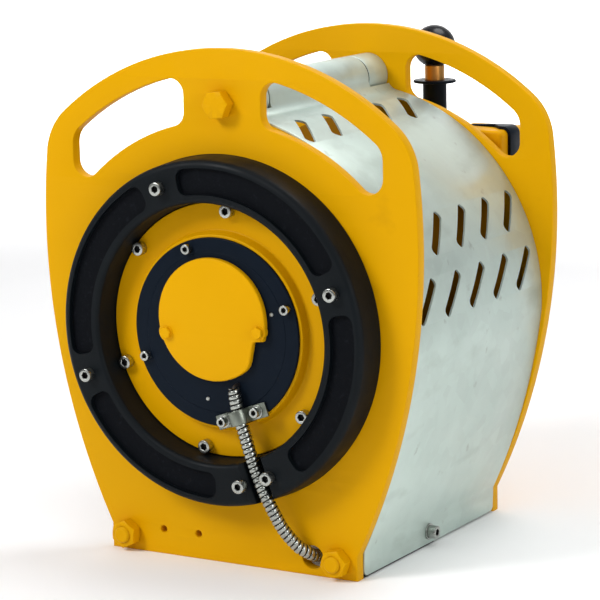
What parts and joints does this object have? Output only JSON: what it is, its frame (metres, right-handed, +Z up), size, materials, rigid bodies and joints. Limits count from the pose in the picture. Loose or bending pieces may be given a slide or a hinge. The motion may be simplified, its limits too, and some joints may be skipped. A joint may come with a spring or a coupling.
{
  "type": "portable wire rope winch",
  "caption": "Portable air-powered rope winch: side plates with hand slots, geared rope drum, spring-applied brake inside a bumper ring, hinged slotted guard and a lever-operated motor.",
  "frame": {"origin": "middle of the bounding box's base, on the surface that the side plates stand on", "axes": "+Z up; the drum axis runs along Y and the front plate with the bumper ring faces -Y; +X is the guard side"},
  "size_m": [0.407, 0.433, 0.489],
  "materials": {
    "yellow_paint": "powder coat, semi-gloss",
    "black_paint": "satin",
    "bumper_rubber": "moulded, matt",
    "black_knob": "gloss",
    "zinc_steel": "bright zinc plate",
    "dark_steel": "machined, oiled",
    "galvanised_sheet": "galvanised",
    "lever_brass": "turned"
  },
  "bodies": {
    "frame": {"front_plate": "yellow_paint", "back_plate": "yellow_paint", "hinge_bolt": "yellow_paint", "hinge_nut": "yellow_paint", "tie_bolt_left": "yellow_paint", "tie_bolt_right": "yellow_paint", "tie_nut_left": "yellow_paint", "tie_nut_right": "yellow_paint", "brake_flange": "yellow_paint", "brake_cap": "yellow_paint", "gear_housing": "yellow_paint", "motor_housing": "yellow_paint", "motor_end_cap": "yellow_paint", "rear_cover": "yellow_paint", "brake_cover": "black_paint", "valve_block": "black_paint", "cover_strap": "black_paint", "bumper_ring": "bumper_rubber", "hinge_tube": "zinc_steel", "tie_spacer_left": "zinc_steel", "tie_spacer_right": "zinc_steel", "ring_screw_1": "zinc_steel", "ring_screw_2": "zinc_steel", "ring_screw_3": "zinc_steel", "ring_screw_4": "zinc_steel", "ring_screw_5": "zinc_steel", "flange_screw_1": "zinc_steel", "flange_screw_2": "zinc_steel", "flange_screw_3": "zinc_steel", "flange_screw_4": "zinc_steel", "flange_screw_5": "zinc_steel", "flange_screw_6": "zinc_steel", "cover_screw_1": "zinc_steel", "cover_screw_2": "zinc_steel", "cover_screw_3": "zinc_steel", "brake_conduit": "zinc_steel", "conduit_clamp": "zinc_steel", "drum_bearing_front": "zinc_steel", "drum_bearing_rear": "zinc_steel", "shaft_bearing_front": "zinc_steel", "shaft_bearing_rear": "zinc_steel", "air_inlet": "zinc_steel", "ring_gear": "dark_steel", "brake_spring": "dark_steel", "muffler": "lever_brass"},
    "drum": {"drum": "yellow_paint", "planet_carrier": "dark_steel"},
    "planet_1": {"planet_gear_1": "dark_steel"},
    "planet_2": {"planet_gear_2": "dark_steel"},
    "planet_3": {"planet_gear_3": "dark_steel"},
    "shaft": {"main_shaft": "zinc_steel", "brake_disc": "dark_steel", "motor_rotor": "dark_steel"},
    "piston": {"brake_piston": "dark_steel"},
    "lever": {"lever_rod": "lever_brass", "lever_knob": "black_knob", "valve_pin": "zinc_steel"},
    "sleeve": {"lock_sleeve": "black_paint"},
    "guard": {"guard": "galvanised_sheet", "guard_screw": "zinc_steel"}
  },
  "joints": [
    {"name": "drum_spin", "type": "hinge", "parent": "frame", "child": "drum", "pos_m": [0, -0.02885, 0.227], "axis": [0, 1, 0], "continuous": true},
    {"name": "shaft_spin", "type": "hinge", "parent": "frame", "child": "shaft", "pos_m": [0, 0.00515, 0.227], "axis": [0, 1, 0], "continuous": true},
    {"name": "planet_spin_1", "type": "hinge", "parent": "drum", "child": "planet_1", "pos_m": [0.0324, -0.00985, 0.227], "axis": [0, 1, 0], "continuous": true},
    {"name": "planet_spin_2", "type": "hinge", "parent": "drum", "child": "planet_2", "pos_m": [-0.0162, -0.00985, 0.25506], "axis": [0, 1, 0], "continuous": true},
    {"name": "planet_spin_3", "type": "hinge", "parent": "drum", "child": "planet_3", "pos_m": [-0.0162, -0.00985, 0.19894], "axis": [0, 1, 0], "continuous": true},
    {"name": "brake_release", "type": "slide", "parent": "frame", "child": "piston", "axis": [0, -1, 0], "range_m": [0, 0.0015], "stiffness_N_per_m": 5000, "springref_m": -0.002},
    {"name": "lever_tilt", "type": "hinge", "parent": "frame", "child": "lever", "pos_m": [0.0435, 0.16415, 0.363], "axis": [0, 1, 0], "range_deg": [-15, 15], "stiffness_Nm_per_rad": 6},
    {"name": "sleeve_lift", "type": "slide", "parent": "lever", "child": "sleeve", "axis": [0, 0, 1], "range_m": [0, 0.01], "stiffness_N_per_m": 200, "springref_m": -0.004},
    {"name": "guard_swing", "type": "hinge", "parent": "frame", "child": "guard", "pos_m": [0, -0.02915, 0.438], "axis": [0, -1, 0], "range_deg": [0, 75]}
  ],
  "couplings": [
    {"joint": "shaft_spin", "follows": "drum_spin", "ratio": 4.8},
    {"joint": "planet_spin_1", "follows": "drum_spin", "ratio": -2.7143},
    {"joint": "planet_spin_2", "follows": "drum_spin", "ratio": -2.7143},
    {"joint": "planet_spin_3", "follows": "drum_spin", "ratio": -2.7143}
  ]
}
